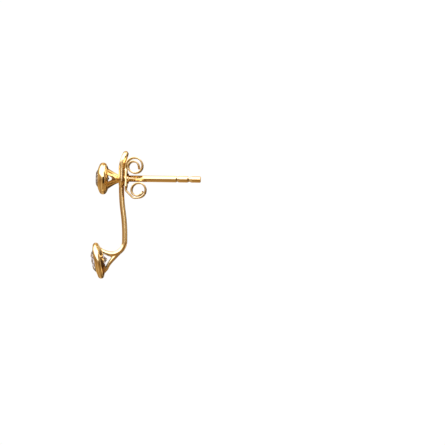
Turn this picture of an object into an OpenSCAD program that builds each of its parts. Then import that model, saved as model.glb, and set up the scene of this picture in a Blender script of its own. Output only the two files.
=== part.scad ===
// Ear jacket earring, lying on its side: a bezel stud, a jacket that hangs on its post, and a butterfly back.
// All sizes are millimetres. +X runs along the post away from the stud's stone, +Y is up when it is worn.
// +Z points away from the surface that it lies on.

/* [Post] */
// Diameter of the post
post_d = 0.78; // [0.7:0.01:0.82]
// Distance from the jacket's plane to the free end of the post
post_reach = 9.56; // [9:0.1:12]
// Depth of the two rings cut near the end, which stop the back from slipping off
notch_depth = 0.1; // [0.04:0.01:0.14]
// Chamfer on the free end
post_chamfer = 0.1; // [0.05:0.01:0.15]

/* [Stud head] */
// Outside diameter of the stud's bezel
stud_bezel_d = 3.88; // [3.84:0.02:4]
// Diameter of the stud's round stone
stud_stone_d = 2.7; // [2.5:0.02:2.8]
// Distance from the jacket's plane to the front edge of the stud's bezel
stud_front = 2.91; // [2.85:0.01:3.1]
// How far the head sits below the post's axis, as it was soldered
stud_drop = 0.03; // [0:0.01:0.1]

/* [Drop head] */
// Outside diameter of the drop's bezel
drop_bezel_d = 4.44; // [4.3:0.02:4.6]
// Diameter of the drop's round stone
drop_stone_d = 3.2; // [3:0.02:3.3]
// Angle by which the drop faces downwards
drop_lean = 11; // [8:0.5:12]
// Distance from the jacket's plane forward to the drop's widest circle
drop_x = 2.71; // [2.65:0.01:2.8]
// Distance from the post down to the drop's widest circle
drop_y = 9.99; // [9.93:0.01:10.03]

/* [Jacket wire] */
// Diameter of the wire in the loop
loop_wire_d = 0.65; // [0.6:0.01:0.65]
// Diameter of the single wire under the loop
stem_wire_d = 0.6; // [0.54:0.01:0.62]
// Radius of the loop's centreline at each end
loop_r = 0.85; // [0.84:0.01:0.9]
// Height above the post at which the loop starts to bend backwards
loop_straight = 1.15; // [1.1:0.05:1.3]
// Radius of the loop's backward bend
loop_bend_r = 3.2; // [3:0.1:4]
// Angle of the loop's backward bend
loop_bend = 19.6; // [12:0.1:21]
// Radius of the wire's bend under the ear lobe
smile_r = 1.56; // [1.5:0.01:1.6]

/* [Butterfly back] */
// Thickness of the front plate
plate_t = 0.24; // [0.18:0.01:0.26]
// Width of the front plate
plate_w = 3.88; // [3.6:0.02:3.88]
// Thickness of the two tongues, which get thinner as they are rolled
tongue_t = 0.18; // [0.14:0.01:0.2]
// Width of the two curled tongues
tongue_w = 3.7; // [3.6:0.02:3.74]
// Distance from the jacket's plane to the plate's front face
plate_x = 0.4; // [0.38:0.01:0.45]
// Outside diameter of the raised collar round the hole
hub_d = 1.24; // [1.1:0.02:1.3]
// Length of the raised collar behind the plate
hub_h = 0.2; // [0.1:0.02:0.26]

/* [Stones] */
// Crown angle of the brilliant cut
crown_angle = 34; // [32:0.5:36]
// Pavilion angle of the brilliant cut
pavilion_angle = 41; // [39:0.5:42]
// Table width as a share of the stone's diameter
table_share = 0.54; // [0.5:0.01:0.6]
// Gap between a stone and its setting
stone_gap = 0.03; // [0.02:0.005:0.04]

/* [Hidden] */

gold = [0.85, 0.68, 0.4];
clear = [0.88, 0.92, 0.96, 0.6];
smooth = 48;

post_r = post_d / 2;
stud_r = stud_bezel_d / 2;
drop_r = drop_bezel_d / 2;
loop_wire_r = loop_wire_d / 2;
stem_r = stem_wire_d / 2;

// Bezels: rounding of the widest edge, front lip, and depths measured behind the front edge
lip_w = 0.1;
girdle_t = 0.05;
stud_edge_r = 0.34;
drop_edge_r = 0.28;
stud_edge_depth = 0.6;
drop_edge_depth = 0.46;
stud_crown_out = 0.25;
drop_crown_out = 0.36;
drop_back_depth = 1.14;
drop_back_out = 1.42;
drop_back_in = 1.14;

// The stud's gallery: a trumpet from the bezel to the collar, given as [from the axis, behind the front]
gallery_top = [1.36, 1.185];
gallery_waist = [0.75, 1.84];
collar = [0.52, 2.49];

// Its two crossing openings are triangles with round corners, point towards the post
window_base = 1.1;
window_half = 0.34;
window_base_r = 0.13;
window_tip = 1.5;
window_tip_r = 0.2;

// The two rings cut in the post, as distances from the jacket's plane
notches = [[6.52, 6.9], [7.9, 8.43]];

// The loop leans back a little from the post before it bends
loop_x = -0.04;
loop_top_y = loop_straight + loop_bend_r * sin(loop_bend);
loop_top_x = loop_x + loop_bend_r * (1 - cos(loop_bend));

// The stem's gentle double bend ends where the bend under the lobe starts
smile_centre = [-1.13, -7.62];
smile_sweep = 135;
sway_top = -loop_r;
sway_bottom = -7.2;
sway_shift = smile_centre[0] + smile_r - loop_x;
sway_half = (sway_top - sway_bottom) / 2;
sway_turn = 2 * atan(sway_shift / 2 / sway_half);
sway_r = sway_half / sin(sway_turn);

// The lower arm leaves the wire in a straight taper, then curves down to the bezel
arm_start = [-0.04, -8.73];
arm_knee = [-1.1, -9.93];
arm_start_r = 0.28;
arm_r = 0.22;
arm_bend_r = 3.2;
arm_turn = 24;

// Every second length of wire is slimmer by this much and reaches this far into its neighbours
slimmer = 0.002;
lap = 0.02;

// Butterfly strip bends after the plate, one row each: [straight length, bend radius, turn]
plate_half_h = 1.2;
corner_r = 0.3;
strip_steps = 5;
strip_lap = 0.1;
upper_scroll = [
    [strip_lap, 3, -10],
    [0, 0.97, -170],
    [0, 0.88, -150],
    [0, 0.64, -200],
    [0.3, 0.64, -10]
];
lower_scroll = [
    [0.1 + strip_lap, 0.35, 45],
    [1.06, 0.2, 48],
    [0.45, 0.98, 87],
    [0, 0.82, 90],
    [0, 0.88, 90],
    [0, 0.66, 140],
    [0.35, 0.66, 4]
];
hole_play = 0.03;

// The jacket swings until the drop's bezel meets the surface that the stud lies on
swing = -asin((drop_r - stud_r) / drop_y);

// The whole piece is centred over the origin and stands on it
left = -drop_x - (drop_edge_depth + drop_crown_out) * cos(drop_lean)
    - table_share * drop_stone_d / 2 * sin(drop_lean);
bottom = -drop_y - (drop_r - drop_edge_r) * cos(drop_lean) - drop_edge_r;
top = loop_top_y + loop_r * cos(loop_bend) + loop_wire_r;
middle = [(left + post_reach) / 2, (bottom + top) / 2];

// Points on a circular arc from angle a0 to a1 in n steps
function arc(centre, r, a0, a1, n) =
    [for (i = [0:n]) centre + r * [cos(a0 + (a1 - a0) * i / n), sin(a0 + (a1 - a0) * i / n)]];

// Points on the curve from a to c that is pulled towards b
function curve(a, b, c, n) =
    [for (i = [0:n]) let (t = i / n) (1 - t) * (1 - t) * a + 2 * t * (1 - t) * b + t * t * c];

// Angle at which a line from point p touches the circle, on the side given as 1 or -1
function touch(p, centre, r, side) =
    let (away = p - centre) atan2(away[1], away[0]) + side * acos(r / norm(away));

// Depth of a stone's girdle behind the bezel's front, from its radius and how far its table stands out
function girdle_depth(r, out) = r * (1 - table_share) * tan(crown_angle) - out;

// Half outline of a bezel from its front lip round the outside to the point back, for a revolve
function bezel_outside(r, edge_r, stone_r, depth, out, back) =
    let (
        lip = stone_r - girdle_depth(stone_r, out) / tan(crown_angle) + stone_gap,
        crest = [lip + lip_w, 0],
        edge = [r - edge_r, -depth],
        a0 = touch(crest, edge, edge_r, -1),
        a1 = touch(back, edge, edge_r, 1)
    )
    concat([[lip, 0], crest], arc(edge, edge_r, a0, a1 - 360 * ceil((a1 - a0) / 360), 8), [back]);

// Where the bore meets the stone, from the girdle's lower edge to its upper edge
function seat(stone_r, out) =
    let (wall = stone_r + stone_gap, depth = girdle_depth(stone_r, out))
    [[wall, -depth - girdle_t - stone_gap / 2], [wall, -depth + stone_gap / 2]];

// One bend of a strip: state is [place, heading], row is [straight length, bend radius, turn]
function bend_end(state, row) =
    let (points = bend_points(state, row)) [points[len(points) - 1], state[1] + row[2]];

function bend_points(state, row) =
    let (
        side = row[2] < 0 ? -1 : 1,
        start = state[0] + row[0] * [cos(state[1]), sin(state[1])],
        spoke = state[1] - side * 90,
        centre = start - row[1] * [cos(spoke), sin(spoke)]
    )
    arc(centre, row[1], spoke, spoke + row[2], max(2, ceil(abs(row[2]) / 90 * strip_steps)));

// All points and headings along the strip, from the row i on
function strip(rows, state, i = 0) =
    i == len(rows) ? [] : concat(
        [for (j = [0:len(bend_points(state, rows[i])) - 1])
            let (points = bend_points(state, rows[i]))
            [points[j], state[1] + rows[i][2] * j / (len(points) - 1)]],
        strip(rows, bend_end(state, rows[i]), i + 1)
    );

// Places the whole earring, or with swung also turns the jacket about the post
module lying(swung = false) {
    translate([-middle[0], -middle[1], stud_r])
        rotate([swung ? swing : 0, 0, 0]) children();
}

// Turns a head that faces +Z to face the front, with its widest circle at the drop's place
module at_drop() {
    translate([-drop_x, -drop_y, 0]) rotate([0, 0, drop_lean]) rotate([0, -90, 0])
        translate([0, 0, drop_edge_depth]) children();
}

module at_stud() {
    translate([-stud_front, -stud_drop, 0]) rotate([0, -90, 0]) children();
}

// Round brilliant with its table up: 8 mains, 8 stars and 16 girdle facets above, 24 facets below
module brilliant(r, out) {
    table_r = r * table_share;
    crown_h = (r - table_r) * tan(crown_angle);
    pavilion_h = r * tan(pavilion_angle);
    star_r = (table_r + r) / 2;
    lower_r = 0.25 * r;
    star_h = crown_h - (star_r * cos(22.5) - table_r) * tan(crown_angle);
    lower_h = -girdle_t - pavilion_h + lower_r * cos(22.5) * tan(pavilion_angle);
    ring_starts = [0, 8, 16, 32, 48];
    points = concat(
        [for (i = [0:7]) [table_r * cos(45 * i), table_r * sin(45 * i), crown_h]],
        [for (i = [0:7]) [star_r * cos(45 * i + 22.5), star_r * sin(45 * i + 22.5), star_h]],
        [for (i = [0:15]) [r * cos(22.5 * i), r * sin(22.5 * i), 0]],
        [for (i = [0:15]) [r * cos(22.5 * i), r * sin(22.5 * i), -girdle_t]],
        [for (i = [0:7]) [lower_r * cos(45 * i + 22.5), lower_r * sin(45 * i + 22.5), lower_h]],
        [[0, 0, -girdle_t - pavilion_h]]
    );
    culet = len(points) - 1;
    star = ring_starts[1];
    upper = ring_starts[2];
    under = ring_starts[3];
    low = ring_starts[4];
    facets = concat(
        [[for (i = [7:-1:0]) i]],
        [for (i = [0:7]) [i, (i + 1) % 8, star + i]],
        [for (i = [0:7]) [i, star + i, upper + 2 * i, star + (i + 7) % 8]],
        [for (i = [0:7]) [star + i, upper + 2 * i + 1, upper + 2 * i]],
        [for (i = [0:7]) [star + i, upper + (2 * i + 2) % 16, upper + 2 * i + 1]],
        [for (i = [0:15]) [upper + i, upper + (i + 1) % 16, under + (i + 1) % 16, under + i]],
        [for (i = [0:7]) [low + i, under + 2 * i, under + 2 * i + 1]],
        [for (i = [0:7]) [low + i, under + 2 * i + 1, under + (2 * i + 2) % 16]],
        [for (i = [0:7]) [culet, low + (i + 7) % 8, under + 2 * i, low + i]]
    );
    translate([0, 0, -girdle_depth(r, out)]) polyhedron(points, facets, convexity = 4);
}

// Opening cut right through the gallery, along its own Z
module gallery_window() {
    linear_extrude(2 * stud_bezel_d, center = true) hull() {
        for (side = [-1, 1])
            translate([window_base, side * window_half]) circle(window_base_r, $fn = 24);
        translate([window_tip, 0]) circle(window_tip_r, $fn = 24);
    }
}

module stud_head() {
    stone_r = stud_stone_d / 2;
    back = [gallery_top[0], -gallery_top[1]];
    neck = [collar[0], -collar[1]];
    waist = [gallery_waist[0], -gallery_waist[1]];
    depth = girdle_depth(stone_r, stud_crown_out) + girdle_t;
    culet = depth + stone_r * tan(pavilion_angle) + stone_gap;
    difference() {
        rotate_extrude($fn = smooth) polygon(concat(
            bezel_outside(stud_r, stud_edge_r, stone_r, stud_edge_depth, stud_crown_out, back),
            curve(back, waist, neck, 8),
            [[0, -collar[1]], [0, -culet]],
            seat(stone_r, stud_crown_out)
        ));
        for (turn = [0, 90])
            rotate([0, 0, turn]) rotate([90, 90, 0]) gallery_window();
    }
}

module post() {
    start = -stud_front + collar[1] - 0.1;
    steps = [for (n = notches) each [
        [post_r, n[0]], [post_r - notch_depth, (n[0] + n[1]) / 2], [post_r, n[1]]
    ]];
    rotate([0, 90, 0]) rotate_extrude($fn = smooth) polygon(concat(
        [[0, start], [post_r, start]],
        steps,
        [[post_r, post_reach - post_chamfer], [post_r - post_chamfer, post_reach], [0, post_reach]]
    ));
}

module stud_setting() {
    color(gold) lying() {
        at_stud() stud_head();
        post();
    }
}

module stud_stone() {
    color(clear) lying() at_stud() brilliant(stud_stone_d / 2, stud_crown_out);
}

// Part of a ring of round wire in the XY plane, from angle a0 on
module wire_arc(r, wire_r, a0, sweep) {
    rotate([0, 0, a0]) rotate_extrude(angle = sweep, $fn = 2 * smooth)
        translate([r, 0]) circle(wire_r, $fn = smooth);
}

// Every second arc of the wire, which reaches into the lengths beside it
module lapped_arc(r, wire_r, a0, sweep) {
    lap_turn = lap / r * 180 / PI;
    wire_arc(r, wire_r - slimmer, a0 - lap_turn, sweep + 2 * lap_turn);
}

module loop() {
    slim_r = loop_wire_r - slimmer;
    translate([loop_x, 0, 0]) rotate([0, 90, 0]) wire_arc(loop_r, loop_wire_r, 180, 180);
    for (side = [-1, 1]) translate([loop_x, 0, side * loop_r]) {
        translate([0, -lap, 0]) rotate([-90, 0, 0])
            cylinder(loop_straight + 2 * lap, slim_r, slim_r, $fn = smooth);
        translate([loop_bend_r, loop_straight, 0])
            wire_arc(loop_bend_r, loop_wire_r, 180 - loop_bend, loop_bend);
    }
    translate([loop_top_x, loop_top_y, 0]) rotate([0, 0, -loop_bend]) rotate([0, 90, 0])
        lapped_arc(loop_r, loop_wire_r, 0, 180);
}

// Single wire from the loop down, round under the lobe and up to the drop's bezel
module stem() {
    foot_x = loop_x + sway_shift;
    translate([loop_x + sway_r, sway_top, 0]) wire_arc(sway_r, stem_r, 180, sway_turn);
    translate([foot_x - sway_r, sway_bottom, 0]) lapped_arc(sway_r, stem_r, 0, sway_turn);
    translate([foot_x, smile_centre[1], 0]) rotate([-90, 0, 0])
        cylinder(sway_bottom - smile_centre[1], stem_r, stem_r, $fn = smooth);
    translate([smile_centre[0], smile_centre[1], 0])
        lapped_arc(smile_r, stem_r, -smile_sweep, smile_sweep);
}

module lower_arm() {
    run = arm_knee - arm_start;
    heading = atan2(run[1], run[0]);
    translate([arm_start[0], arm_start[1], 0]) rotate([0, 0, heading]) {
        rotate([0, 90, 0]) cylinder(norm(run), arm_start_r, arm_r, $fn = smooth);
        translate([norm(run), arm_bend_r, 0]) lapped_arc(arm_bend_r, arm_r, -90, arm_turn);
    }
}

module drop_bezel() {
    stone_r = drop_stone_d / 2;
    rotate_extrude($fn = smooth) polygon(concat(
        bezel_outside(drop_r, drop_edge_r, stone_r, drop_edge_depth, drop_crown_out,
            [drop_back_out, -drop_back_depth]),
        [[drop_back_in, -drop_back_depth]],
        seat(stone_r, drop_crown_out)
    ));
}

module jacket_frame() {
    color(gold) lying(swung = true) {
        loop();
        stem();
        lower_arm();
        at_drop() drop_bezel();
    }
}

module drop_stone() {
    color(clear) lying(swung = true) at_drop() brilliant(drop_stone_d / 2, drop_crown_out);
}

// Strip seen from its edge, bent along the rows from the plate's end
module scroll(rows, start, heading) {
    path = concat([[start, heading]], strip(rows, [start, heading]));
    half = tongue_t / 2;
    linear_extrude(tongue_w, center = true) polygon(concat(
        [for (p = path) p[0] + half * [-sin(p[1]), cos(p[1])]],
        [for (i = [len(path) - 1:-1:0])
            let (p = path[i]) p[0] - half * [-sin(p[1]), cos(p[1])]]
    ));
}

module plate() {
    side = plate_w / 2 - corner_r;
    rise = plate_half_h - corner_r;
    outline = [for (quarter = [0:3]) each arc(
        [quarter == 0 || quarter == 3 ? side : -side, quarter < 2 ? rise : -rise],
        corner_r, 90 * quarter, 90 * quarter + 90, 6
    )];
    rotate([0, 90, 0]) difference() {
        union() {
            linear_extrude(plate_t) polygon(outline);
            cylinder(plate_t + hub_h, hub_d / 2, hub_d / 2, $fn = smooth);
        }
        translate([0, 0, -plate_t])
            cylinder(3 * plate_t + hub_h, post_r + hole_play, post_r + hole_play, $fn = smooth);
    }
}

module butterfly_back() {
    middle_x = plate_x + tongue_t / 2;
    color(gold) lying() {
        translate([plate_x, 0, 0]) plate();
        scroll(upper_scroll, [middle_x, plate_half_h - strip_lap], 90);
        scroll(lower_scroll, [middle_x, -plate_half_h + strip_lap], -90);
    }
}

stud_setting();
stud_stone();
jacket_frame();
drop_stone();
butterfly_back();
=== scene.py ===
# Ear jacket earring in polished gold plating with clear zirconia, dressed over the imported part.
# Shapes are drawn in millimetres in the earring's own layout: x runs along the post away from the
# stud's stone, y is up when it is worn, z towards the viewer, and the origin is where the post and
# the jacket's wire cross. The last step of each piece lays it down in the part's frame, in metres.
import math

import bmesh
import bpy
from mathutils import Matrix, Vector


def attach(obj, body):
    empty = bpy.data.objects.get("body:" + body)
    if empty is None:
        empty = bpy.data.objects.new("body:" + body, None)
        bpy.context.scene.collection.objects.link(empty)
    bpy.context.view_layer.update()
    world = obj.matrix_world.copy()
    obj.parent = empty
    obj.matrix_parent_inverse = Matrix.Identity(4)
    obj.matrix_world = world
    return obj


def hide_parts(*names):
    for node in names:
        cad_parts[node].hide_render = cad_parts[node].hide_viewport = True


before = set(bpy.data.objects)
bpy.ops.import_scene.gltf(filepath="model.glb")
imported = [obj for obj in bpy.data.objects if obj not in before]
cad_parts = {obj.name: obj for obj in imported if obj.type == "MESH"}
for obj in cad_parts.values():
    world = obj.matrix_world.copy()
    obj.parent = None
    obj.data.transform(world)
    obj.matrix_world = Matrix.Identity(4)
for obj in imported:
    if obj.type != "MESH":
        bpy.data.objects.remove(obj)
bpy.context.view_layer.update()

MM = 0.001

# Post, with distances from the jacket's plane; a notch goes from one to the other
POST_R = 0.39
POST_REACH = 9.56
POST_CHAMFER = 0.1
NOTCHES = ((6.52, 6.9), (7.9, 8.43))
NOTCH_DEPTH = 0.1
NOTCH_FLARE = 0.02
NOTCH_LIP_R = 0.03
NOTCH_FLOOR_R = 0.05
POST_SHOULDER_R = 0.06
POST_TIP_R = 0.04
# The post starts this far inside the collar
POST_ROOT = 0.1

# Stud: an edge is the round of the widest circle and that circle's depth behind the front, the
# gallery's points are (radius, depth behind the front), and the crown stands out of the bezel
STUD_R = 1.94
STUD_STONE_R = 1.35
STUD_FRONT = 2.91
STUD_DROP = 0.03
STUD_EDGE = (0.5, 0.62)
STUD_CROWN_OUT = 0.25
STUD_CUP_FLOOR = 1.0
GALLERY_TOP = (1.36, 1.185)
GALLERY_WAIST = (0.75, 1.84)
COLLAR = (0.52, 2.49)
# The gallery's windows are triangles with round corners: depth, half width and corners of the
# base, then depth and corner of the tip
WINDOW_BASE = 1.1
WINDOW_HALF = 0.34
WINDOW_BASE_R = 0.13
WINDOW_TIP = 1.5
WINDOW_TIP_R = 0.2

# Drop: its place is the middle of its widest circle
DROP_R = 2.22
DROP_STONE_R = 1.6
DROP_LEAN = 11
DROP_AT = (-2.71, -9.99)
DROP_EDGE = (0.38, 0.46)
DROP_CROWN_OUT = 0.36
DROP_BACK = (1.45, 1.14)
DROP_BACK_IN = 1.14

# Jacket wire: a loop, a stem with a gentle double bend, the bend under the lobe and the lower arm
LOOP_WIRE_R = 0.335
STEM_WIRE_R = 0.32
LOOP_R = 0.85
LOOP_X = -0.05
LOOP_STRAIGHT = 1.136
LOOP_BEND_R = 3.2
LOOP_BEND = 19.6
SMILE_AT = (-1.13, -7.62)
SMILE_R = 1.56
SWAY_BOTTOM = -7.2
ARM_START = (-0.04, -8.73)
ARM_KNEE = (-1.1, -9.93)
ARM_START_R = 0.3
ARM_R = 0.22
ARM_BEND_R = 3.2
ARM_TURN = 24

# The bare wire goes this far round its bend, up to the solder
SMILE_BARE = 22
# The stem leaves its bend here, flattens and flares into solder on the bezel's back
HEEL_TURN = 96
HEEL = ((-1.714, -9.066), (-2.06, -8.93), (-2.4, -8.8))
HEEL_R = 0.26
# Solder: two ends with their radii, at the upper joint, at the lower joint and in the fork
SOLDER = (((-2.02, -8.92), 0.2, (-2.62, -8.62), 0.3), ((-1.74, -11.0), 0.2, (-1.98, -11.4), 0.16),
          ((-0.3, -9.02), 0.3, (-1.2, -9.58), 0.16))
# Grain of the melted skins, and how often they are softened
GALLERY_GRAIN = 0.025
GALLERY_SOFTENING = 4
FORK_GRAIN = 0.022
FORK_SOFTENING = 40

# Butterfly back: each bend is (straight length, bend radius, turn in degrees); the sheet's gauge
# falls from the plate's to the tongues' over the last stretch of the plate
PLATE_T = 0.24
PLATE_HALF_W = 1.94
TONGUE_T = 0.18
TONGUE_HALF_W = 1.85
TONGUE_END_R = 0.4
STRIP_EDGE_R = 0.05
STRIP_STEP = 0.04
GAUGE_RUN = 0.3
PLATE_X = 0.4
PLATE_HALF_H = 1.2
CORNER_R = 0.3
HUB_R = 0.62
HUB_H = 0.2
HUB_OUT_R = 0.09
HUB_IN_R = 0.06
HUB_ROOT = 0.02
HOLE_R = 0.42
HOLE_REACH = (0.1, 1.2)
UPPER_SCROLL = ((0, 3, -10), (0, 0.97, -170), (0, 0.88, -150), (0, 0.64, -200), (0.3, 0.64, -10))
LOWER_SCROLL = ((0.1, 0.35, 45), (1.06, 0.2, 48), (0.45, 0.98, 87), (0, 0.82, 90), (0, 0.88, 90),
                (0, 0.66, 140), (0.35, 0.66, 4))

# A drawing turned so that its x runs up Z and its y along X, and a lathed piece turned so that its
# front looks away from the post
UPRIGHT = Matrix(((0, 1, 0, 0), (0, 0, 1, 0), (1, 0, 0, 0), (0, 0, 0, 1)))
SIDEWAYS = Matrix.Rotation(math.radians(-90), 4, "Y")

# Stones
CROWN_ANGLE = 34
TABLE_SHARE = 0.54
PAVILION_ANGLE = 41
GIRDLE_T = 0.05
STONE_GAP = 0.03
LIP_W = 0.1
LIP_ROUND = 0.03

# The skin is drawn this much inside the solids, so that it keeps to their box
INSIDE = 0.004

# How the earring lies: the middle of its outline, and the swing that brings the drop down to the
# surface
MIDDLE = (2.9401, -4.41258)
SWING = -math.asin((DROP_R - STUD_R) / -DROP_AT[1])

# Photograph: its width in mm, its centre in the part's frame, the post's slope in degrees, and
# the lens in mm
VIEW_WIDTH = 53.94
VIEW_CENTRE = (9.31, -0.75)
VIEW_TURN = 0.8
LENS = 200
SENSOR = 36


# Outlines


def tan(degrees):
    return math.tan(math.radians(degrees))


def spot(degrees, r=1.0):
    """Point on a circle of radius r round the origin."""
    return Vector((r * math.cos(math.radians(degrees)), r * math.sin(math.radians(degrees))))


def arc(centre, r, a0, a1, steps):
    """Points on a circular arc from a0 to a1 degrees."""
    return [Vector(centre) + spot(a0 + (a1 - a0) * i / steps, r) for i in range(steps + 1)]


def curve(a, b, c, steps):
    """Points on the curve from a to c that is pulled towards b."""
    a, b, c = Vector(a), Vector(b), Vector(c)
    ts = [i / steps for i in range(steps + 1)]
    return [(1 - t) ** 2 * a + 2 * t * (1 - t) * b + t * t * c for t in ts]


def rounded(corners, steps=5):
    """Outline with a round at each corner (x, y, radius); radius 0 keeps the corner."""
    made = []
    for i, (x, y, r) in enumerate(corners):
        here = Vector((x, y))
        if r == 0 or i in (0, len(corners) - 1):
            made.append(here)
            continue
        before = Vector(corners[i - 1][:2]) - here
        after = Vector(corners[i + 1][:2]) - here
        half = before.angle(after) / 2
        reach = min(r / math.tan(half), 0.49 * before.length, 0.49 * after.length)
        start, end = here + before.normalized() * reach, here + after.normalized() * reach
        made += curve(start, here, end, steps)
    return made


def touch(p, centre, r, side):
    """Angle at which a line from p touches the circle, on the side 1 or -1."""
    away = Vector(p) - Vector(centre)
    spread = math.degrees(math.acos(r / away.length))
    return math.degrees(math.atan2(away.y, away.x)) + side * spread


def follow(rows, start, heading, step):
    """Points along a strip that bends as the rows say."""
    at, points = Vector(start), [Vector(start)]
    for length, r, turn in rows:
        pieces = max(1, round(length / step))
        if length > 0:
            points += [at + spot(heading, length * (i + 1) / pieces) for i in range(pieces)]
            at = points[-1]
        side = -1 if turn < 0 else 1
        spoke = heading - side * 90
        centre = at - spot(spoke, r)
        pieces = max(2, round(abs(math.radians(turn)) * r / step))
        points += arc(centre, r, spoke, spoke + turn, pieces)[1:]
        at, heading = points[-1], heading + turn
    return points


def around(corners):
    """Closed outline that goes clockwise round the circles at the corners (x, y, radius)."""
    made = []
    n = len(corners)
    for i in range(n):
        (x0, y0, r0), (x, y, r), (x2, y2, r2) = corners[i - 1], corners[i], corners[(i + 1) % n]
        come = side_angle((x0, y0), r0, (x, y), r)
        leave = side_angle((x, y), r, (x2, y2), r2)
        while leave > come:
            leave -= 360
        made += arc((x, y), r, come, leave, 8)
    return made


def side_angle(a, ra, b, rb):
    """Direction from both centres to the line that touches both circles on their left."""
    run = Vector(b) - Vector(a)
    return math.degrees(math.atan2(run.y, run.x)) + math.degrees(math.acos((ra - rb) / run.length))


def girdle_depth(r, out):
    """Depth of a stone's girdle behind the bezel's front, with its table this far out of it."""
    return r * (1 - TABLE_SHARE) * tan(CROWN_ANGLE) - out


# Meshes


def mesh_object(name, verts, faces, edges=()):
    mesh = bpy.data.meshes.new(name)
    mesh.from_pydata([tuple(v) for v in verts], list(edges), faces)
    mesh.update()
    made = bpy.data.objects.new(name, mesh)
    bpy.context.scene.collection.objects.link(made)
    return made


def outward(piece):
    """Merges doubles and turns every face outwards."""
    bm = bmesh.new()
    bm.from_mesh(piece.data)
    bmesh.ops.remove_doubles(bm, verts=bm.verts, dist=1e-5)
    bmesh.ops.recalc_face_normals(bm, faces=bm.faces)
    bm.to_mesh(piece.data)
    bm.free()
    return piece


def lathe(name, outline, sides=96):
    """Turns the outline of (radius, height) points about Z; a closed outline makes a ring."""
    verts, faces, n = [], [], len(outline)
    for k in range(sides):
        c = spot(360 * k / sides)
        verts += [(c.x * r, c.y * r, h) for r, h in outline]
    on_axis = [abs(r) < 1e-9 for r, _ in outline]
    for k in range(sides):
        a, b = k * n, (k + 1) % sides * n
        for i in range(n):
            j = (i + 1) % n
            if on_axis[i] and on_axis[j]:
                continue
            faces.append((a + i, b + i, b + j, a + j))
    return outward(mesh_object(name, verts, faces))


def prism(name, outline, half_z):
    n = len(outline)
    verts = [(p[0], p[1], s * half_z) for s in (-1, 1) for p in outline]
    sides = [(i, (i + 1) % n, n + (i + 1) % n, n + i) for i in range(n)]
    return outward(mesh_object(name, verts, sides + [tuple(range(n)), tuple(range(n, 2 * n))]))


def place(piece, matrix):
    piece.data.transform(matrix)
    return piece


def cut(piece, tool):
    """Takes the tool out of the piece."""
    change = piece.modifiers.new("cut", "BOOLEAN")
    change.operation = "DIFFERENCE"
    change.solver = "EXACT"
    change.object = tool
    made = applied(piece)
    bpy.data.objects.remove(tool)
    return made


def applied(piece):
    """Plain mesh of the piece with its modifiers applied; the modifiers and old mesh go."""
    graph = bpy.context.evaluated_depsgraph_get()
    mesh = bpy.data.meshes.new_from_object(piece.evaluated_get(graph))
    piece.modifiers.clear()
    if piece.type == "MESH":
        old, piece.data = piece.data, mesh
        bpy.data.meshes.remove(old)
        return piece
    made = bpy.data.objects.new(piece.name, mesh)
    bpy.context.scene.collection.objects.link(made)
    bpy.data.objects.remove(piece)
    return made


def joined(name, parts):
    """One object with the meshes of all the parts."""
    bm = bmesh.new()
    for part in parts:
        bm.from_mesh(part.data)
    mesh = bpy.data.meshes.new(name)
    bm.to_mesh(mesh)
    bm.free()
    for part in parts:
        bpy.data.objects.remove(part)
    made = bpy.data.objects.new(name, mesh)
    bpy.context.scene.collection.objects.link(made)
    return made


def soldered(name, parts, grain, softening):
    """Melts overlapping parts into one skin of the given grain, and softens the joints."""
    piece = joined(name, parts)
    melt = piece.modifiers.new("melt", "REMESH")
    melt.mode = "VOXEL"
    melt.voxel_size = grain
    melt.use_smooth_shade = True
    soften = piece.modifiers.new("soften", "SMOOTH")
    soften.factor = 0.5
    soften.iterations = softening
    return applied(piece)


def smooth_shaded(piece, sharp=40):
    """Smooth faces, with every edge sharp that turns more than so many degrees."""
    for face in piece.data.polygons:
        face.use_smooth = True
    piece.data.set_sharp_from_angle(angle=math.radians(sharp))
    return piece


# Node trees


def add(tree, kind, into=None, **settings):
    """Adds a node; settings are its properties, and into gives its inputs by name or number, each
    a value, a socket, or a node, whose first output is taken."""
    node = tree.nodes.new(kind)
    for key, value in settings.items():
        setattr(node, key, value)
    for key, value in (into or {}).items():
        if isinstance(value, bpy.types.Node):
            value = value.outputs[0]
        if isinstance(value, bpy.types.NodeSocket):
            tree.links.new(value, node.inputs[key])
        else:
            node.inputs[key].default_value = value
    return node


def socket(tree, name, kind, value=None, in_out="INPUT"):
    made = tree.interface.new_socket(name=name, in_out=in_out, socket_type=kind)
    if value is not None:
        made.default_value = value
    return made


def run_tree(piece, tree, **values):
    """Runs a geometry tree on the piece with the named inputs, and gives back a plain mesh."""
    change = piece.modifiers.new(tree.name, "NODES")
    change.node_group = tree
    for item in tree.interface.items_tree:
        if item.item_type == "SOCKET" and item.in_out == "INPUT":
            key = item.name.lower().replace(" ", "_")
            if key in values:
                change[item.identifier] = values[key]
    return applied(piece)


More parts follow.
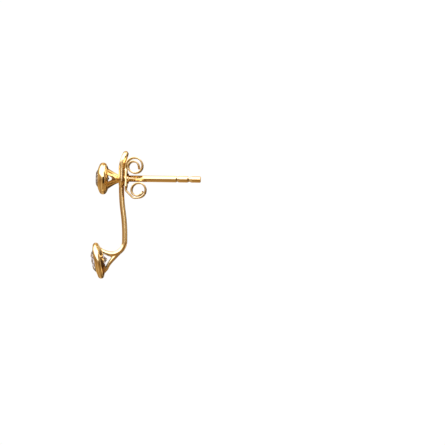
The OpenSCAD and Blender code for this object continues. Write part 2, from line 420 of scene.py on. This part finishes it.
def drawn_wire_tree():
    """Round wire drawn along a path, tapering from its start to its end."""
    tree = bpy.data.node_groups.new("drawn wire", "GeometryNodeTree")
    socket(tree, "Geometry", "NodeSocketGeometry")
    socket(tree, "Start Radius", "NodeSocketFloat", STEM_WIRE_R)
    socket(tree, "End Radius", "NodeSocketFloat", STEM_WIRE_R)
    socket(tree, "Spacing", "NodeSocketFloat", 0.05)
    socket(tree, "Sides", "NodeSocketInt", 32)
    socket(tree, "Metal", "NodeSocketMaterial")
    socket(tree, "Geometry", "NodeSocketGeometry", in_out="OUTPUT")
    given = add(tree, "NodeGroupInput").outputs
    path = add(tree, "GeometryNodeMeshToCurve", {"Mesh": given["Geometry"]})
    even = add(tree, "GeometryNodeResampleCurve",
               {"Curve": path.outputs["Curve"], "Length": given["Spacing"]}, mode="LENGTH")
    along = add(tree, "GeometryNodeSplineParameter")
    radius = add(tree, "ShaderNodeMix",
                 {"Factor": along.outputs["Factor"], 2: given["Start Radius"],
                  3: given["End Radius"]})
    ring = add(tree, "GeometryNodeCurvePrimitiveCircle",
               {"Resolution": given["Sides"], "Radius": 1.0})
    skin = add(tree, "GeometryNodeCurveToMesh",
               {"Curve": even.outputs["Curve"], "Profile Curve": ring.outputs["Curve"],
                "Scale": radius.outputs[0], "Fill Caps": True})
    finish(tree, skin.outputs["Mesh"], given["Metal"])
    return tree


def rolled_strip_tree():
    """Flat strip rolled along a path, with the path's own half width at each point."""
    tree = bpy.data.node_groups.new("rolled strip", "GeometryNodeTree")
    socket(tree, "Geometry", "NodeSocketGeometry")
    socket(tree, "Thickness", "NodeSocketFloat", TONGUE_T)
    socket(tree, "Edge Radius", "NodeSocketFloat", STRIP_EDGE_R)
    socket(tree, "Plate Middle", "NodeSocketFloat", PLATE_X)
    socket(tree, "Metal", "NodeSocketMaterial")
    socket(tree, "Geometry", "NodeSocketGeometry", in_out="OUTPUT")
    given = add(tree, "NodeGroupInput").outputs
    path = add(tree, "GeometryNodeMeshToCurve", {"Mesh": given["Geometry"]})
    upright = add(tree, "GeometryNodeSetCurveNormal", {"Curve": path.outputs["Curve"]},
                  mode="Z_UP")
    # The section starts two edge radii wide; its halves then move apart to the strip's width
    twice = add(tree, "ShaderNodeMath", {0: given["Edge Radius"], 1: 2.0}, operation="MULTIPLY")
    wide = add(tree, "ShaderNodeMath", {0: twice.outputs[0], 1: 0.02}, operation="ADD")
    blank = add(tree, "GeometryNodeCurvePrimitiveQuadrilateral",
                {"Width": given["Thickness"], "Height": wide.outputs[0]}, mode="RECTANGLE")
    edge = add(tree, "GeometryNodeFilletCurve",
               {"Curve": blank.outputs["Curve"], "Count": 5, "Radius": given["Edge Radius"],
                "Limit Radius": True}, mode="POLY")
    skin = add(tree, "GeometryNodeCurveToMesh",
               {"Curve": upright.outputs["Curve"], "Profile Curve": edge.outputs["Curve"],
                "Fill Caps": True})
    place_now = add(tree, "GeometryNodeInputPosition")
    split = add(tree, "ShaderNodeSeparateXYZ", {0: place_now.outputs[0]})
    sign = add(tree, "ShaderNodeMath", {0: split.outputs["Z"]}, operation="SIGN")
    half = add(tree, "GeometryNodeInputNamedAttribute", {"Name": "half_width"}, data_type="FLOAT")
    half_now = add(tree, "ShaderNodeMath", {0: wide.outputs[0], 1: 0.5}, operation="MULTIPLY")
    apart = add(tree, "ShaderNodeMath", {0: half.outputs["Attribute"], 1: half_now.outputs[0]},
                operation="SUBTRACT")
    shift = add(tree, "ShaderNodeMath", {0: sign.outputs[0], 1: apart.outputs[0]},
                operation="MULTIPLY")
    way = add(tree, "ShaderNodeCombineXYZ", {"Z": shift.outputs[0]})
    # The plate keeps the full gauge of the sheet on its back, from the path's own attribute
    behind = add(tree, "ShaderNodeMath", {0: split.outputs["X"], 1: given["Plate Middle"]},
                 operation="GREATER_THAN")
    deep = add(tree, "GeometryNodeInputNamedAttribute", {"Name": "extra_depth"}, data_type="FLOAT")
    back = add(tree, "ShaderNodeMath", {0: behind.outputs[0], 1: deep.outputs["Attribute"]},
               operation="MULTIPLY")
    tree.links.new(back.outputs[0], way.inputs["X"])
    widened = add(tree, "GeometryNodeSetPosition",
                  {"Geometry": skin.outputs["Mesh"], "Offset": way.outputs[0]})
    finish(tree, widened.outputs["Geometry"], given["Metal"])
    return tree


def finish(tree, geometry, metal):
    """Ends a tree: smooth faces, real geometry, material."""
    smooth = add(tree, "GeometryNodeSetShadeSmooth", {"Geometry": geometry})
    real = add(tree, "GeometryNodeRealizeInstances", {"Geometry": smooth.outputs["Geometry"]})
    coated = add(tree, "GeometryNodeSetMaterial",
                 {"Geometry": real.outputs["Geometry"], "Material": metal})
    add(tree, "NodeGroupOutput", {"Geometry": coated.outputs["Geometry"]})


# Materials


# Gold: its two tones, its roughness at least and at most, and its relief; widths in mm
GOLD_TONES = ("f5e2b9", "f2dcab")
DRIFT_WIDTH = 1.6
GOLD_ROUGHNESS = (0.09, 0.17)
# Wipe marks are about 0.02 mm wide; they are drawn coarser, so that they show
WIPE_WIDTH = 0.25
WAVE_WIDTH = 0.9
WAVE_HEIGHT = 0.02
WAVE_STRENGTH = 0.35

# Zirconia
GEM_TINT = "f4f2fa"
GEM_INDEX = 2.15
GEM_CLEAR = 0.95
HAZE_WIDTH = 0.5
HAZE_ROUGHNESS = 0.03


def linear(code):
    """Linear colour of an sRGB hex code."""
    parts = [int(code[i:i + 2], 16) / 255 for i in (0, 2, 4)]
    return [p / 12.92 if p <= 0.04045 else ((p + 0.055) / 1.055) ** 2.4 for p in parts] + [1.0]


def per_metre(mm):
    """Noise scale on Object coordinates for a feature of that many millimetres."""
    return 1 / (mm * MM)


def gold_plating():
    """Yellow gold plated on polished sterling silver: deep mirror with the soft waves that a
    polishing mop leaves, wipe marks, and a plating colour that drifts a little."""
    material = bpy.data.materials.new("gold plating")
    material.use_nodes = True
    tree = material.node_tree
    tree.nodes.clear()
    where = add(tree, "ShaderNodeTexCoord").outputs["Object"]
    drift = add(tree, "ShaderNodeTexNoise",
                {"Vector": where, "Scale": per_metre(DRIFT_WIDTH), "Detail": 2.0})
    tone = add(tree, "ShaderNodeMix",
               {"Factor": drift.outputs["Fac"], 6: linear(GOLD_TONES[0]),
                7: linear(GOLD_TONES[1])}, data_type="RGBA")
    wipe = add(tree, "ShaderNodeTexNoise",
               {"Vector": where, "Scale": per_metre(WIPE_WIDTH), "Detail": 4.0})
    rough = add(tree, "ShaderNodeMapRange",
                {"Value": wipe.outputs["Fac"], "From Min": 0.3, "From Max": 0.7,
                 "To Min": GOLD_ROUGHNESS[0], "To Max": GOLD_ROUGHNESS[1]})
    waves = add(tree, "ShaderNodeTexNoise",
                {"Vector": where, "Scale": per_metre(WAVE_WIDTH), "Detail": 2.0})
    relief = add(tree, "ShaderNodeBump",
                 {"Height": waves.outputs["Fac"], "Strength": WAVE_STRENGTH,
                  "Distance": WAVE_HEIGHT * MM})
    metal = add(tree, "ShaderNodeBsdfPrincipled",
                {"Base Color": tone.outputs[2], "Metallic": 1.0, "Roughness": rough.outputs[0],
                 "Normal": relief.outputs[0]})
    add(tree, "ShaderNodeOutputMaterial", {"Surface": metal.outputs[0]})
    return material


def zirconia():
    """Clear cubic zirconia, cut and polished: a high index gives hard white and dark facets, and
    the polish leaves the faintest haze here and there."""
    material = bpy.data.materials.new("cubic zirconia")
    material.use_nodes = True
    tree = material.node_tree
    tree.nodes.clear()
    where = add(tree, "ShaderNodeTexCoord").outputs["Object"]
    haze = add(tree, "ShaderNodeTexNoise",
               {"Vector": where, "Scale": per_metre(HAZE_WIDTH), "Detail": 2.0})
    rough = add(tree, "ShaderNodeMapRange",
                {"Value": haze.outputs["Fac"], "To Min": 0.0, "To Max": HAZE_ROUGHNESS})
    gem = add(tree, "ShaderNodeBsdfPrincipled",
              {"Base Color": linear(GEM_TINT), "Roughness": rough.outputs[0], "IOR": GEM_INDEX,
               "Transmission Weight": GEM_CLEAR})
    add(tree, "ShaderNodeOutputMaterial", {"Surface": gem.outputs[0]})
    return material


def lit_acrylic(level):
    """White acrylic lit evenly from below, as a table or a card, which throws no shadow."""
    material = bpy.data.materials.new("lit acrylic")
    material.use_nodes = True
    tree = material.node_tree
    tree.nodes.clear()
    glow = add(tree, "ShaderNodeEmission", {"Color": linear("ffffff"), "Strength": level})
    add(tree, "ShaderNodeOutputMaterial", {"Surface": glow.outputs[0]})
    return material


def matt_card(code):
    """Matt dark card, which polished metal close to it mirrors as one hard dark line."""
    material = bpy.data.materials.new("card " + code)
    material.use_nodes = True
    tree = material.node_tree
    tree.nodes.clear()
    card = add(tree, "ShaderNodeBsdfDiffuse", {"Color": linear(code)})
    add(tree, "ShaderNodeOutputMaterial", {"Surface": card.outputs[0]})
    return material


GOLD = gold_plating()
GEM = zirconia()
WIRE = drawn_wire_tree()
STRIP = rolled_strip_tree()


# Pieces


def wire(name, points, r0, r1, closed=False):
    """Wire along the points, with its radius at the start and at the end."""
    n = len(points)
    edges = [(i, i + 1) for i in range(n - 1)] + ([(n - 1, 0)] if closed else [])
    points = [tuple(p) if len(p) == 3 else (p[0], p[1], 0) for p in points]
    path = mesh_object(name, points, [], edges)
    return outward(run_tree(path, WIRE, start_radius=r0, end_radius=r1, metal=GOLD))


def bezel_outline(r, edge, stone_r, out, back, inner):
    """Closed outline of a bezel: lip, outside, back, inside, and the bore up to the stone."""
    edge_r, depth = edge
    deep = girdle_depth(stone_r, out)
    lip = stone_r - deep / tan(CROWN_ANGLE) + STONE_GAP
    crest = (lip + LIP_W, 0)
    centre = (r - edge_r, -depth)
    a0 = touch(crest, centre, edge_r, -1)
    a1 = touch(back, centre, edge_r, 1)
    a1 -= 360 * math.ceil((a1 - a0) / 360)
    front = rounded([(lip - 0.02, -0.06, 0), (lip, 0, LIP_ROUND), (*crest, LIP_ROUND),
                     (*(Vector(centre) + spot(a0, edge_r)), 0)])
    wall = stone_r + STONE_GAP
    inside = [(wall, -deep - GIRDLE_T - STONE_GAP / 2), (wall, -deep + STONE_GAP / 2)]
    return front[:-1] + arc(centre, edge_r - INSIDE, a0, a1, 24) + inner + inside


def stud_depths():
    """How far the stud stone's girdle and the point of its seat lie behind the bezel's front."""
    girdle = girdle_depth(STUD_STONE_R, STUD_CROWN_OUT) + GIRDLE_T
    return girdle, girdle + STUD_STONE_R * tan(PAVILION_ANGLE) + STONE_GAP


def stud_bezel():
    """Bezel of the stud, whose bore follows the stone's cone down to the cup's floor."""
    girdle, point = stud_depths()
    r, deep = GALLERY_TOP
    bore = (STUD_STONE_R + STONE_GAP) * (point - STUD_CUP_FLOOR) / (point - girdle)
    inner = [(r, -deep - 0.01), (bore, -STUD_CUP_FLOOR - 0.1)]
    return lathe("bezel", bezel_outline(STUD_R, STUD_EDGE, STUD_STONE_R, STUD_CROWN_OUT,
                                        (r + 0.03, -deep), inner))


def gallery():
    """Trumpet between the bezel and the collar, hollowed for the stone, with crossing windows."""
    girdle, point = stud_depths()
    top, waist, neck = [(r, -deep) for r, deep in (GALLERY_TOP, GALLERY_WAIST, COLLAR)]
    mouth = (top[0] - 0.01, top[1])
    trumpet = lathe("trumpet", [(0, top[1] + 0.05), (mouth[0], top[1] + 0.05)]
                    + curve(mouth, waist, neck, 20) + [(0, neck[1])])
    seat = lathe("seat", [(0, -point), (STUD_STONE_R + STONE_GAP, -girdle), (0, -girdle)])
    trumpet = cut(trumpet, seat)
    corners = [(-WINDOW_BASE, -WINDOW_HALF, WINDOW_BASE_R), (-WINDOW_TIP, 0, WINDOW_TIP_R),
               (-WINDOW_BASE, WINDOW_HALF, WINDOW_BASE_R)]
    for turn in (0, 90):
        window = prism("window", around(corners), STUD_R)
        place(window, Matrix.Rotation(math.radians(turn), 4, "Z") @ UPRIGHT)
        trumpet = cut(trumpet, window)
    return soldered("gallery", [trumpet], GALLERY_GRAIN, GALLERY_SOFTENING)


def post():
    """Round post with two V notches near its chamfered end."""
    start, end = COLLAR[1] - STUD_FRONT - POST_ROOT, POST_REACH - INSIDE
    outline = [(0, start, 0), (POST_R, start, 0)]
    for a, b in NOTCHES:
        outline += [(POST_R, a - NOTCH_FLARE, NOTCH_LIP_R),
                    (POST_R - NOTCH_DEPTH, (a + b) / 2, NOTCH_FLOOR_R),
                    (POST_R, b + NOTCH_FLARE, NOTCH_LIP_R)]
    outline += [(POST_R, end - POST_CHAMFER, POST_SHOULDER_R),
                (POST_R - POST_CHAMFER, end, POST_TIP_R), (0, end, 0)]
    return place(lathe("post", rounded(outline), 64), Matrix.Rotation(math.radians(90), 4, "Y"))


def stud_setting():
    head = Matrix.Translation((-STUD_FRONT, -STUD_DROP, 0)) @ SIDEWAYS
    parts = [place(stud_bezel(), head), place(gallery(), head), post()]
    return smooth_shaded(joined("stud", parts))


def loop_wire():
    """Closed loop that slips over the post, upright at its foot and bent back at its top."""
    up = Vector((math.sin(math.radians(LOOP_BEND)), math.cos(math.radians(LOOP_BEND)), 0))
    top_x = LOOP_X + LOOP_BEND_R * (1 - math.cos(math.radians(LOOP_BEND)))
    top_y = LOOP_STRAIGHT + LOOP_BEND_R * math.sin(math.radians(LOOP_BEND))
    strand = [Vector((LOOP_X, LOOP_STRAIGHT * i / 12, LOOP_R)) for i in range(12)]
    bend = arc((LOOP_X + LOOP_BEND_R, LOOP_STRAIGHT), LOOP_BEND_R, 180, 180 - LOOP_BEND, 14)
    strand += [Vector((*p, LOOP_R)) for p in bend]
    crown = [Vector((top_x, top_y, 0)) + up * spot(t, LOOP_R).y + Vector((0, 0, spot(t, LOOP_R).x))
             for t in range(8, 180, 8)]
    down = [Vector((p.x, p.y, -p.z)) for p in reversed(strand)]
    foot = [Vector((LOOP_X, spot(t, LOOP_R).y, spot(t, LOOP_R).x)) for t in range(188, 360, 8)]
    return wire("loop", strand + crown + down + foot, LOOP_WIRE_R, LOOP_WIRE_R, closed=True)


def stem_wire():
    """Bare wire below the loop: a double bend, then the start of the bend under the lobe."""
    foot_x = SMILE_AT[0] + SMILE_R
    half = (-LOOP_R - SWAY_BOTTOM) / 2
    turn = 2 * math.degrees(math.atan((foot_x - LOOP_X) / 2 / half))
    sway_r = half / math.sin(math.radians(turn))
    path = arc((LOOP_X + sway_r, -LOOP_R), sway_r, 180, 180 + turn, 20)
    path += arc((foot_x - sway_r, SWAY_BOTTOM), sway_r, turn, 0, 20)[1:]
    path += arc(SMILE_AT, SMILE_R, 0, -SMILE_BARE, 12)
    return wire("stem", path, STEM_WIRE_R, STEM_WIRE_R)


def fork():
    """The rest of the bend with its heel on the bezel, the lower arm, and the solder on them."""
    smile = wire("smile", arc(SMILE_AT, SMILE_R, 4 - SMILE_BARE, -HEEL_TURN, 30), STEM_WIRE_R,
                 STEM_WIRE_R)
    heel = arc(SMILE_AT, SMILE_R, 8 - HEEL_TURN, -HEEL_TURN, 4) + [Vector(p) for p in HEEL]
    heel = wire("heel", heel, STEM_WIRE_R, HEEL_R)
    start, knee = Vector(ARM_START), Vector(ARM_KNEE)
    heading = math.degrees(math.atan2(knee.y - start.y, knee.x - start.x))
    arm = [start.lerp(knee, i / 16) for i in range(16)]
    arm += arc(knee + spot(heading + 90, ARM_BEND_R), ARM_BEND_R, heading - 90,
               heading - 90 + ARM_TURN, 16)
    arm = wire("arm", arm, ARM_START_R, ARM_R)
    fillets = [wire("solder", [Vector(a).lerp(Vector(b), i / 8) for i in range(9)], ra, rb)
               for a, ra, b, rb in SOLDER]
    return soldered("fork", [smile, heel, arm] + fillets, FORK_GRAIN, FORK_SOFTENING)


def drop_bezel():
    """Bezel of the drop, leaning so that it faces a little downwards."""
    r, deep = DROP_BACK
    outline = bezel_outline(DROP_R, DROP_EDGE, DROP_STONE_R, DROP_CROWN_OUT, (r, -deep),
                            [(DROP_BACK_IN, -deep)])
    lean = Matrix.Rotation(math.radians(DROP_LEAN), 4, "Z") @ SIDEWAYS
    at = Matrix.Translation((*DROP_AT, 0)) @ lean @ Matrix.Translation((0, 0, DROP_EDGE[1]))
    return place(lathe("bezel", outline, 128), at)


def jacket():
    return smooth_shaded(joined("jacket", [loop_wire(), stem_wire(), fork(), drop_bezel()]))


def tip(width, r, rest):
    """Half width of a strip near its end, rest away from it, with round corners of radius r."""
    gone = max(0.0, r - rest)
    return width - r + math.sqrt(max(0.0, r * r - gone * gone))


def ease(x, low, high):
    t = min(1, max(0, (x - low) / (high - low)))
    return t * t * (3 - 2 * t)


def rolled_strip():
    """Plate with a tongue rolled up at each end, bent from one strip."""
    middle_x = PLATE_X + TONGUE_T / 2
    upper = follow(UPPER_SCROLL, (middle_x, PLATE_HALF_H), 90, STRIP_STEP)
    lower = follow(LOWER_SCROLL, (middle_x, -PLATE_HALF_H), -90, STRIP_STEP)
    rise = round(2 * PLATE_HALF_H / STRIP_STEP)
    plate = [Vector((middle_x, -PLATE_HALF_H + 2 * PLATE_HALF_H * i / rise))
             for i in range(1, rise)]
    points = lower[::-1] + plate + upper
    lengths = [0.0]
    for a, b in zip(points, points[1:]):
        lengths.append(lengths[-1] + (b - a).length)
    first, last = lengths[len(lower) - 1], lengths[len(lower) + len(plate)]
    halves, extra = [], []
    for s in lengths:
        tongue = tip(TONGUE_HALF_W, TONGUE_END_R, min(s, lengths[-1] - s))
        rest = min(s - first, last - s)
        halves.append(max(tongue, tip(PLATE_HALF_W, CORNER_R, rest)) if rest > 0 else tongue)
        extra.append(ease(rest, 0, GAUGE_RUN) * (PLATE_T - TONGUE_T))
    path = mesh_object("path", [(p.x, p.y, 0) for p in points], [],
                       [(i, i + 1) for i in range(len(points) - 1)])
    for title, values in (("half_width", halves), ("extra_depth", extra)):
        path.data.attributes.new(title, "FLOAT", "POINT").data.foreach_set("value", values)
    return outward(run_tree(path, STRIP, thickness=TONGUE_T, edge_radius=STRIP_EDGE_R,
                            plate_middle=middle_x, metal=GOLD))


def butterfly():
    along = Matrix.Rotation(math.radians(90), 4, "Y")
    front, back = PLATE_X, PLATE_X + PLATE_T
    start, end = HOLE_REACH
    hole = lathe("hole", [(0, start), (HOLE_R, start), (HOLE_R, end), (0, end)], 64)
    strip = cut(rolled_strip(), place(hole, along))
    ring = rounded([(HOLE_R, front + HUB_ROOT, 0), (HOLE_R, back + HUB_H, HUB_IN_R),
                    (HUB_R, back + HUB_H, HUB_OUT_R), (HUB_R + 0.01, back - HUB_ROOT, 0)])
    hub = place(lathe("hub", ring, 64), along)
    return smooth_shaded(joined("butterfly", [strip, hub]))


# Laying down


def lay(piece, name, node, body, swung=False):
    """Brings a finished metal piece into the part's frame, in the place of its node."""
    swing = Matrix.Rotation(SWING, 4, "X") if swung else Matrix.Identity(4)
    shift = Matrix.Translation((-MIDDLE[0], -MIDDLE[1], STUD_R))
    place(piece, Matrix.Scale(MM, 4) @ shift @ swing)
    piece.name = name
    piece.data.materials.clear()
    piece.data.materials.append(GOLD)
    for face in piece.data.polygons:
        face.material_index = 0
    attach(piece, body)
    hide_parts(node)


lay(stud_setting(), "stud_mount", "stud_setting", "stud")
lay(jacket(), "jacket", "jacket_frame", "jacket", swung=True)
lay(butterfly(), "butterfly", "butterfly_back", "clutch")
for node in ("stud_stone", "drop_stone"):
    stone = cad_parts[node]
    stone.data.materials.clear()
    stone.data.materials.append(GEM)


# Studio


# The tent round the earring, as what a facet mirrors up to the lens when it leans across or along
# by so much: leaning -1 to 1, colour
TENT_ACROSS = ((-1.0, "e4cca0"), (-0.85, "dcc8a4"), (-0.55, "b39576"), (-0.2, "e8ddcd"),
               (0.15, "c8b091"), (0.32, "bca488"), (0.5, "c0a684"), (0.64, "a88e6c"),
               (0.69, "f8ecd4"), (0.79, "f8ecd4"), (0.83, "5e4632"), (0.96, "4c3828"),
               (1.0, "a88a60"))
TENT_ALONG = ((-1.0, "e8d8b8"), (-0.93, "d4c4a8"), (-0.8, "c0b098"), (-0.5, "dcd2bc"),
              (-0.2, "c4b49c"), (-0.08, "a89680"), (0.02, "ccc4ba"), (0.75, "d0c8b8"),
              (0.9, "f4e0bc"))
TENT_LEVEL = 1.36

# Patches of its wall, by the same leanings: low end, high end and softness across, then along
LENS_SLOT = ((-0.12, 0.15, 0.05), (-0.7, -0.12, 0.06))
RIGHT_FLAG = ((0.27, 0.42, 0.03), (-0.5, 0.3, 0.06))
LOW_CARD = ((0.78, 0.97, 0.03), (-0.6, -0.1, 0.05))
FAR_PANEL = ((-0.9, 0.25, 0.05), (0.08, 0.8, 0.05))
NEAR_PANEL = ((0.2, 0.5, 0.05), (0.4, 0.8, 0.05))
# The far panel is turned by this much, and both fade out towards the table
PANEL_TILT = 0.2
PANEL_FOOT = (0.42, 0.58)
# The lower right corner, by the leaning across less that along, goes dark here
DARK_CORNER = (1.08, 1.22)
CARD = "fdf6e4"
SLOT = "d8c29a"
FLAG_LEVEL = 0.45
LOW_LEVEL = 3.4
CORNER_LEVEL = 0.3
PANEL_LEVEL = 2.1

# What light that leaves a stone meets: white card with dark lilac flags, by its direction
STONE_ACROSS = ((-1.0, "ffffff"), (-0.7, "c8c4d0"), (-0.5, "ffffff"), (-0.15, "4a4450"),
                (0.0, "ffffff"), (0.3, "b8b4c4"), (0.6, "3a3440"), (1.0, "6a6474"))
STONE_ALONG = ((-1.0, "f0f0f4"), (-0.4, "8c8898"), (-0.2, "ffffff"), (0.1, "d8d6e0"),
               (0.25, "504a58"), (0.5, "ffffff"), (1.0, "d0ced8"))
STONE_LEVEL = 1.9

# Small dark cards held close to the two bezels, and beside the wire where it passes the butterfly
# back: colour, and corners in millimetres in the part's frame
BLACK = "0c0a08"
BROWN = "7c5c40"
DARK_CARDS = (
    (BLACK, (-5.19, 3.6, 3.96), (-4.9, 3.6, 3.96), (-4.9, 4.65, 4.16), (-5.19, 4.65, 4.16)),
    (BLACK, (-5.11, -6.44, 4.29), (-4.92, -6.41, 4.29), (-5.12, -5.37, 4.55),
     (-5.31, -5.41, 4.55)),
    (BROWN, (-2.6, 3.5, 3.0), (-2.6, 5.6, 3.0), (-2.6, 5.6, 3.56), (-2.6, 3.5, 3.56)),
    (BROWN, (-2.6, 2.2, 2.16), (-2.6, 3.55, 2.16), (-2.6, 3.55, 2.74), (-2.6, 2.2, 2.66)))
# Lit card over the cut edge of the butterfly back's plate
LIT_CARD = ((-2.56, 3.3, 4.7), (-2.3, 3.3, 4.7), (-2.3, 5.7, 4.7), (-2.56, 5.7, 4.7))
LIT_LEVEL = 2.2
TABLE_LEVEL = 1.02


def bands(tree, value, marks):
    """Colour that runs through the marks (value from -1 to 1, sRGB code)."""
    fit = add(tree, "ShaderNodeMapRange", {"Value": value, "From Min": -1.0, "From Max": 1.0})
    node = add(tree, "ShaderNodeValToRGB", {0: fit})
    stops = node.color_ramp.elements
    for mark, stop in zip((marks[0], marks[-1]), stops):
        stop.position, stop.color = (mark[0] + 1) / 2, linear(mark[1])
    for at, code in marks[1:-1]:
        stops.new((at + 1) / 2).color = linear(code)
    return node


def within(tree, value, low, high, soft):
    """1 where the value lies between low and high, with soft ends."""
    rise = add(tree, "ShaderNodeMapRange",
               {"Value": value, "From Min": low - soft, "From Max": low + soft},
               interpolation_type="SMOOTHSTEP")
    fall = add(tree, "ShaderNodeMapRange",
               {"Value": value, "From Min": high - soft, "From Max": high + soft, "To Min": 1.0,
                "To Max": 0.0}, interpolation_type="SMOOTHSTEP")
    return add(tree, "ShaderNodeMath", {0: rise, 1: fall}, operation="MULTIPLY")


def patch(tree, across, along, limits):
    """1 inside a patch of the tent's wall."""
    return add(tree, "ShaderNodeMath", {0: within(tree, across, *limits[0]),
                                        1: within(tree, along, *limits[1])}, operation="MULTIPLY")


def tent_wall(tree, across, along, up):
    """Warm card with a dim slot for the lens, a flag on the right, a lit card low on the right, a
    dark corner, and bright panels on the far side."""
    wall = add(tree, "ShaderNodeVectorMath", {0: bands(tree, across, TENT_ACROSS),
                                              1: bands(tree, along, TENT_ALONG)},
               operation="MULTIPLY")
    slot = patch(tree, across, along, LENS_SLOT)
    card = add(tree, "ShaderNodeMix", {"Factor": slot, 6: linear(CARD), 7: linear(SLOT)},
               data_type="RGBA")
    wall = add(tree, "ShaderNodeVectorMath", {0: wall, 1: card.outputs[2]}, operation="MULTIPLY")
    flag = add(tree, "ShaderNodeMapRange",
               {"Value": patch(tree, across, along, RIGHT_FLAG), "To Min": 1.0,
                "To Max": FLAG_LEVEL}, interpolation_type="SMOOTHSTEP")
    light = add(tree, "ShaderNodeMath",
                {0: patch(tree, across, along, LOW_CARD), 1: LOW_LEVEL, 2: flag},
                operation="MULTIPLY_ADD")
    corner = add(tree, "ShaderNodeMath", {0: across, 1: along}, operation="SUBTRACT")
    dark = add(tree, "ShaderNodeMapRange",
               {"Value": corner, "From Min": DARK_CORNER[0], "From Max": DARK_CORNER[1],
                "To Min": TENT_LEVEL, "To Max": TENT_LEVEL * CORNER_LEVEL},
               interpolation_type="SMOOTHSTEP")
    light = add(tree, "ShaderNodeMath", {0: light, 1: dark}, operation="MULTIPLY")
    wall = add(tree, "ShaderNodeVectorMath", {0: wall, "Scale": light}, operation="SCALE")
    turned = add(tree, "ShaderNodeMath", {0: across, 1: PANEL_TILT, 2: along},
                 operation="MULTIPLY_ADD")
    panel = add(tree, "ShaderNodeMath", {0: patch(tree, across, turned, FAR_PANEL),
                                         1: patch(tree, across, along, NEAR_PANEL)},
                operation="MAXIMUM")
    foot = add(tree, "ShaderNodeMapRange",
               {"Value": up, "From Min": PANEL_FOOT[0], "From Max": PANEL_FOOT[1],
                "To Max": PANEL_LEVEL}, interpolation_type="SMOOTHSTEP")
    panel = add(tree, "ShaderNodeMath", {0: panel, 1: foot}, operation="MULTIPLY")
    return add(tree, "ShaderNodeVectorMath", {0: wall, 1: panel}, operation="ADD")


def stone_cards(tree, way):
    """What light that leaves a stone in this direction meets."""
    sides = add(tree, "ShaderNodeSeparateXYZ", {0: way}).outputs
    cards = add(tree, "ShaderNodeVectorMath", {0: bands(tree, sides["X"], STONE_ACROSS),
                                               1: bands(tree, sides["Y"], STONE_ALONG)},
                operation="MULTIPLY")
    return add(tree, "ShaderNodeVectorMath", {0: cards, "Scale": STONE_LEVEL}, operation="SCALE")


def tent():
    """The world: the tent's wall for the metal, and cards of their own for the stones."""
    world = bpy.data.worlds.new("tent")
    bpy.context.scene.world = world
    world.use_nodes = True
    tree = world.node_tree
    tree.nodes.clear()
    way = add(tree, "ShaderNodeTexCoord").outputs["Generated"]
    # A facet that mirrors this direction straight up leans halfway between the two
    halfway = add(tree, "ShaderNodeVectorMath", {0: way, 1: (0, 0, 1)}, operation="ADD")
    facet = add(tree, "ShaderNodeVectorMath", {0: halfway}, operation="NORMALIZE")
    lean = add(tree, "ShaderNodeSeparateXYZ", {0: facet}).outputs
    wall = tent_wall(tree, lean["X"], lean["Y"], lean["Z"])
    through = add(tree, "ShaderNodeLightPath").outputs["Is Transmission Ray"]
    seen = add(tree, "ShaderNodeMix", {"Factor": through, 6: wall, 7: stone_cards(tree, way)},
               data_type="RGBA")
    glow = add(tree, "ShaderNodeBackground", {"Color": seen.outputs[2], "Strength": 1.0})
    add(tree, "ShaderNodeOutputWorld", {"Surface": glow})


def hold(corners, material):
    """Holds a small card near the earring, which only its metal mirrors."""
    card = mesh_object("card", [Vector(corner) * MM for corner in corners], [(0, 1, 2, 3)])
    card.data.materials.append(material)
    card.visible_camera = False
    card.visible_transmission = False


def studio():
    """Lit white table, the small cards, and the tent round them."""
    table = mesh_object("table", [(-1, -1, 0), (1, -1, 0), (1, 1, 0), (-1, 1, 0)], [(0, 1, 2, 3)])
    table.data.materials.append(lit_acrylic(TABLE_LEVEL))
    table.visible_glossy = False
    for code, *corners in DARK_CARDS:
        hold(corners, matt_card(code))
    hold(LIT_CARD, lit_acrylic(LIT_LEVEL))
    tent()


def camera():
    lens = bpy.data.cameras.new("camera")
    lens.lens = LENS
    lens.sensor_width = SENSOR
    lens.clip_start = 0.01
    lens.clip_end = 10
    made = bpy.data.objects.new("camera", lens)
    distance = VIEW_WIDTH * LENS / SENSOR
    made.location = (VIEW_CENTRE[0] * MM, VIEW_CENTRE[1] * MM, (distance + STUD_R) * MM)
    made.rotation_euler = (0, 0, math.radians(VIEW_TURN))
    bpy.context.scene.collection.objects.link(made)
    bpy.context.scene.camera = made


studio()
camera()
bpy.context.scene.view_settings.view_transform = "Standard"
